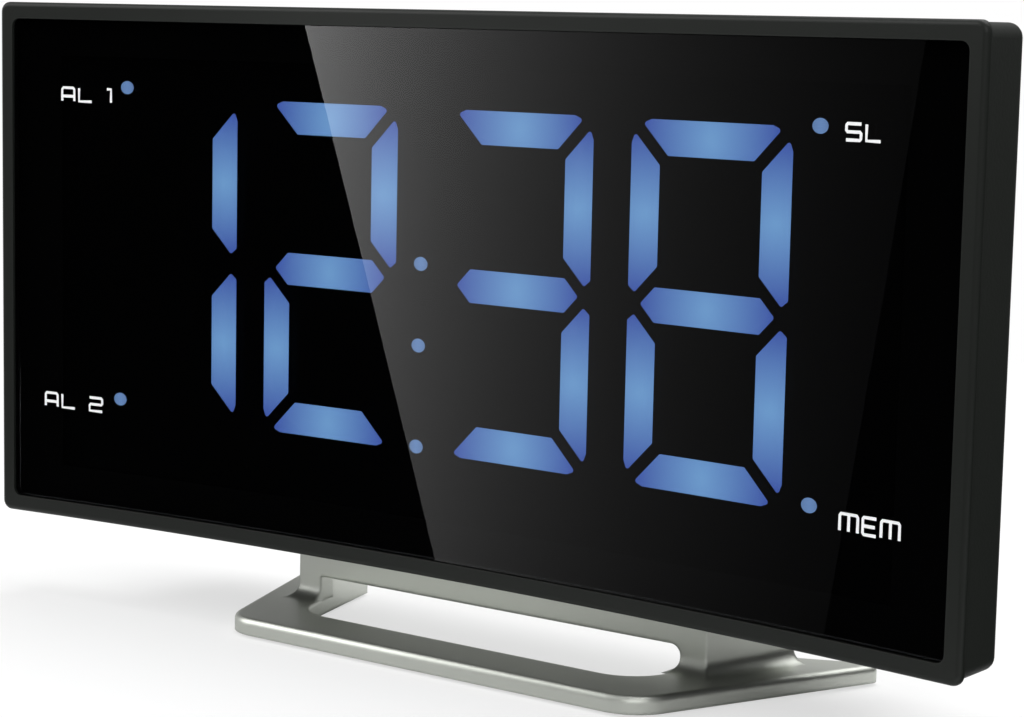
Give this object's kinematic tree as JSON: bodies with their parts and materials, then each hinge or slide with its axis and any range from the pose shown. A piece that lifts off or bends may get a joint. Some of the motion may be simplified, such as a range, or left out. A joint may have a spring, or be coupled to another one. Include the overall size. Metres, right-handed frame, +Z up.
{
  "type": "projection alarm clock",
  "caption": "Projection alarm clock with a curved seven-segment screen in a slim frame, top buttons and a rear swivel projector, on a slotted silver stand.",
  "frame": {"origin": "on the surface the clock stands on, below the middle of its box", "axes": "+X along the face to its right-hand end as seen by the reader, +Y from the face to the back, +Z up"},
  "size_m": [0.159, 0.0379, 0.0871],
  "materials": {
    "bezel_plastic": "satin",
    "casing_plastic": "fine texture",
    "button_plastic": "satin",
    "projector_plastic": "satin",
    "smoked_window": "gloss, smoked",
    "reflector_black": "matt",
    "lit_blue": "lit diffuser",
    "unlit_diffuser": "matt",
    "chip_resin": "clear resin",
    "circuit_board": "solder mask",
    "component_black": "matt",
    "steel": "zinc plated",
    "cell_steel": "nickel",
    "speaker_paper": "paper",
    "ferrite": "ground",
    "rubber": "matt",
    "lamp_resin": "clear resin",
    "film_black": "gloss",
    "lens_glass": "polished",
    "silver_stand": "satin silver"
  },
  "bodies": {
    "clock": {"front_bezel": "bezel_plastic", "display_window": "smoked_window", "segment_reflector": "reflector_black", "lit_segments": "lit_blue", "indicator_lights": "lit_blue", "unlit_segments": "unlit_diffuser", "light_chips": "chip_resin", "display_board": "circuit_board", "rear_casing": "casing_plastic", "case_screws": "steel", "main_board": "circuit_board", "board_components": "component_black", "board_screws": "steel", "button_board": "circuit_board", "button_switches": "component_black", "button_board_screws": "steel", "speaker_grille": "casing_plastic", "speaker_basket": "steel", "speaker_cone": "speaker_paper", "speaker_magnet": "ferrite", "cell_holder": "component_black", "cell_contact": "steel", "backup_cell": "cell_steel", "power_inlet": "component_black", "antenna_gland": "rubber", "dimmer_switch": "component_black", "stand": "silver_stand", "stand_screws": "steel", "stand_feet": "rubber"},
    "projector": {"projector_drum": "projector_plastic", "projector_end_cap": "projector_plastic", "projector_clip": "steel", "lamp_board": "circuit_board", "projector_lamp": "lamp_resin", "time_film": "film_black"},
    "focus_ring": {"focus_ring": "button_plastic"},
    "lens_cell": {"lens_cell": "projector_plastic", "projection_lens": "lens_glass"},
    "battery_door": {"battery_door": "casing_plastic"},
    "dimmer_knob": {"dimmer_knob": "button_plastic"},
    "snooze_bar": {"snooze_bar": "button_plastic"},
    "power_button": {"power_button": "button_plastic"},
    "alarm_one_button": {"alarm_one_button": "button_plastic"},
    "alarm_two_button": {"alarm_two_button": "button_plastic"},
    "memory_button": {"memory_button": "button_plastic"},
    "tuning_down_button": {"tuning_down_button": "button_plastic"},
    "tuning_up_button": {"tuning_up_button": "button_plastic"},
    "volume_down_button": {"volume_down_button": "button_plastic"},
    "volume_up_button": {"volume_up_button": "button_plastic"}
  },
  "joints": [
    {"name": "projector_tilt", "type": "hinge", "parent": "clock", "child": "projector", "pos_m": [-0.046, 0.00611, 0.066], "axis": [-1, 0, 0], "range_deg": [-10, 100]},
    {"name": "focus_turn", "type": "hinge", "parent": "projector", "child": "focus_ring", "pos_m": [-0.046, 0.00611, 0.079], "axis": [0, 0, 1], "range_deg": [-60, 60]},
    {"name": "focus_slide", "type": "slide", "parent": "projector", "child": "lens_cell", "axis": [0, 0, 1], "range_m": [-0.0005, 0.0005]},
    {"name": "battery_door_pull", "type": "slide", "parent": "clock", "child": "battery_door", "axis": [0, 1, 0], "range_m": [0, 0.008]},
    {"name": "dimmer_slide", "type": "slide", "parent": "clock", "child": "dimmer_knob", "axis": [1, 0, 0], "range_m": [-0.002, 0.002]},
    {"name": "snooze_bar_press", "type": "slide", "parent": "clock", "child": "snooze_bar", "axis": [0, 0, -1], "range_m": [0, 0.0008], "stiffness_N_per_m": 1200, "springref_m": -0.0003},
    {"name": "power_button_press", "type": "slide", "parent": "clock", "child": "power_button", "axis": [0, 0, -1], "range_m": [0, 0.0008], "stiffness_N_per_m": 1200, "springref_m": -0.0003},
    {"name": "alarm_one_button_press", "type": "slide", "parent": "clock", "child": "alarm_one_button", "axis": [0, 0, -1], "range_m": [0, 0.0008], "stiffness_N_per_m": 1200, "springref_m": -0.0003},
    {"name": "alarm_two_button_press", "type": "slide", "parent": "clock", "child": "alarm_two_button", "axis": [0, 0, -1], "range_m": [0, 0.0008], "stiffness_N_per_m": 1200, "springref_m": -0.0003},
    {"name": "memory_button_press", "type": "slide", "parent": "clock", "child": "memory_button", "axis": [0, 0, -1], "range_m": [0, 0.0008], "stiffness_N_per_m": 1200, "springref_m": -0.0003},
    {"name": "tuning_down_button_press", "type": "slide", "parent": "clock", "child": "tuning_down_button", "axis": [0, 0, -1], "range_m": [0, 0.0008], "stiffness_N_per_m": 1200, "springref_m": -0.0003},
    {"name": "tuning_up_button_press", "type": "slide", "parent": "clock", "child": "tuning_up_button", "axis": [0, 0, -1], "range_m": [0, 0.0008], "stiffness_N_per_m": 1200, "springref_m": -0.0003},
    {"name": "volume_down_button_press", "type": "slide", "parent": "clock", "child": "volume_down_button", "axis": [0, 0, -1], "range_m": [0, 0.0008], "stiffness_N_per_m": 1200, "springref_m": -0.0003},
    {"name": "volume_up_button_press", "type": "slide", "parent": "clock", "child": "volume_up_button", "axis": [0, 0, -1], "range_m": [0, 0.0008], "stiffness_N_per_m": 1200, "springref_m": -0.0003}
  ],
  "couplings": [
    {"joint": "focus_turn", "follows": "focus_slide", "rad_per_m": 2094.3}
  ]
}
